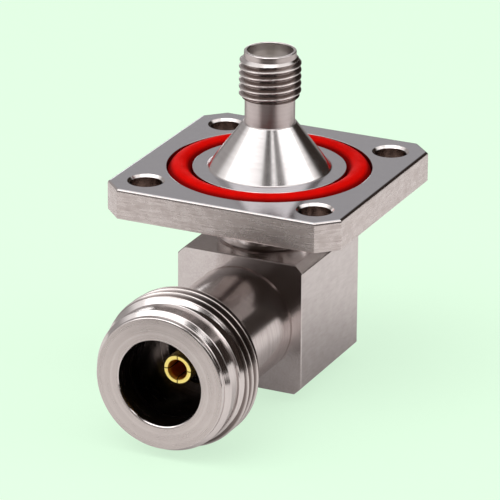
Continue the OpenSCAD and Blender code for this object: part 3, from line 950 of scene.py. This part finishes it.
def makeFloor():
    half = studio["floorSize"] / 2
    height = cadBounds[0][2]
    mesh = bpy.data.meshes.new("floor")
    corners = [(-half, -half, height), (half, -half, height), (half, half, height), (-half, half, height)]
    mesh.from_pydata(corners, [], [(0, 1, 2, 3)])
    floor = bpy.data.objects.new("floor", mesh)
    bpy.context.collection.objects.link(floor)
    material = bpy.data.materials.new("floorSheet")
    material.use_nodes = True
    tree = material.node_tree
    tree.nodes.clear()
    seen, mirrored = rayIsSeen(tree)
    flat = place(tree, "ShaderNodeVectorMath", {0: objectPosition(tree), 1: (1, 1, 0)},
                 operation="MULTIPLY").outputs[0]
    heading = place(tree, "ShaderNodeVectorMath", {0: flat}, operation="NORMALIZE").outputs[0]
    away = place(tree, "ShaderNodeVectorMath", {0: flat}, operation="LENGTH").outputs["Value"]
    # painted shadow on the sheet near the part, as metal mirrors it
    near = softStep(tree, away, *(edge * mm for edge in studio["paintedShadowEnds"]))
    inMetal = mixColours(tree, near, (*studio["paintedShadowNear"], 1), (*studio["sheetInMetal"], 1))
    # painted shade on the sheet's far ends, as metal mirrors it
    for around, start, full, nearest, farthest, darkness in studio["paintedShadeEnds"]:
        facing = howAligned(tree, heading, towards(around, 0))
        share = calc(tree, "MULTIPLY", softStep(tree, facing, start, full),
                     softStep(tree, away, nearest * mm, farthest * mm))
        share = calc(tree, "MULTIPLY", share, darkness)
        inMetal = mixColours(tree, share, inMetal, (*studio["roomDark"], 1))
    colour = mixColours(tree, mirrored, (*studio["sheetInMetal"], 1), inMetal)
    colour = mixColours(tree, seen, colour, (*studio["backdrop"], 1))
    lit = place(tree, "ShaderNodeBsdfDiffuse", {"Color": colour}).outputs[0]
    glow = place(tree, "ShaderNodeEmission", {"Color": colour, "Strength": 1.0}).outputs[0]
    share = calc(tree, "MAXIMUM", calc(tree, "MULTIPLY", seen, studio["sheetGlow"]),
                 calc(tree, "MULTIPLY", mirrored, studio["sheetGlowInMetal"]))
    both = place(tree, "ShaderNodeMixShader", {0: share, 1: lit, 2: glow}).outputs[0]
    place(tree, "ShaderNodeOutputMaterial", {"Surface": both})
    mesh.materials.append(material)


makeFloor()


def makeWorld():
    world = bpy.data.worlds.new("room")
    bpy.context.scene.world = world
    world.use_nodes = True
    tree = world.node_tree
    tree.nodes.clear()
    seen, mirrored = rayIsSeen(tree)
    way = place(tree, "ShaderNodeTexCoord").outputs["Generated"]
    rise = place(tree, "ShaderNodeSeparateXYZ", {0: way}).outputs[2]
    high = softStep(tree, rise, *studio["highGlowFrom"])
    room = mixColours(tree, high, (*studio["room"], 1), (*studio["highGlow"], 1))
    for ways, colour in (("darkWays", "roomDark"), ("brightWays", "highGlow")):
        for around, up, start, full in studio[ways]:
            share = softStep(tree, howAligned(tree, way, towards(around, up)), start, full)
            room = mixColours(tree, share, room, (*studio[colour], 1))
    colour = mixColours(tree, seen, room, (*studio["backdrop"], 1))
    background = place(tree, "ShaderNodeBackground", {"Color": colour, "Strength": 1.0}).outputs[0]
    place(tree, "ShaderNodeOutputWorld", {"Surface": background})


makeWorld()

# softboxes: degrees round from the camera (right is positive), degrees up, degrees of tilt,
# metres away, width, height, brightness
softboxes = {
    "leftBox": (-64, 47, 30, 0.7, 0.80, 0.40, 1.08),
    "rightBox": (71, 41, -25, 0.7, 0.62, 0.34, 1.2),
    "midStrip": (12, 44, 0, 0.7, 0.085, 0.30, 1.5),
    "overhead": (0, 73, 0, 0.7, 0.56, 0.20, 1.15),
    "backPanel": (-175, 5, 0, 0.9, 0.32, 0.26, 1.4),
}
# a wide lamp that only lights dull surfaces
fillBox = {"around": -40, "up": 62, "away": 0.9, "width": 0.8, "brightness": 2.0}


def makeLamp(name, around, up, tilt, away, width, height, brightness):
    lamp = bpy.data.lights.new(name, "AREA")
    lamp.shape = "RECTANGLE"
    lamp.size, lamp.size_y = width, height
    lamp.energy = brightness * math.pi * width * height
    box = bpy.data.objects.new(name, lamp)
    aim = towards(around, up)
    box.location = aim * away
    turn = aim.to_track_quat("Z", "Y").to_matrix() @ Matrix.Rotation(math.radians(tilt), 3, "Z")
    box.rotation_euler = turn.to_euler()
    bpy.context.collection.objects.link(box)
    return box


def makeSoftboxes():
    for name, box in softboxes.items():
        makeLamp(name, *box)
    fill = makeLamp("fillBox", fillBox["around"], fillBox["up"], 0, fillBox["away"], fillBox["width"],
                    fillBox["width"], fillBox["brightness"])
    fill.visible_glossy = False


makeSoftboxes()


def makeCamera():
    back = towards(0, view["elevation"])
    side = Vector((0, 0, 1)).cross(back).normalized()
    upright = back.cross(side)
    roll = math.radians(view["roll"])
    right = side * math.cos(roll) + upright * math.sin(roll)
    up = upright * math.cos(roll) - side * math.sin(roll)
    camera = bpy.data.cameras.new("camera")
    camera.sensor_width = 36
    camera.lens = view["lens"]
    camera.clip_start = 0.01
    holder = bpy.data.objects.new("camera", camera)
    at = (back * view["distance"] + right * view["right"] + up * view["up"]) * mm
    axes = Matrix((right, up, back)).transposed().to_4x4()
    holder.matrix_world = Matrix.Translation(at) @ axes
    bpy.context.collection.objects.link(holder)
    bpy.context.scene.camera = holder


makeCamera()
bpy.context.scene.view_settings.view_transform = "Standard"
print("studio ready")
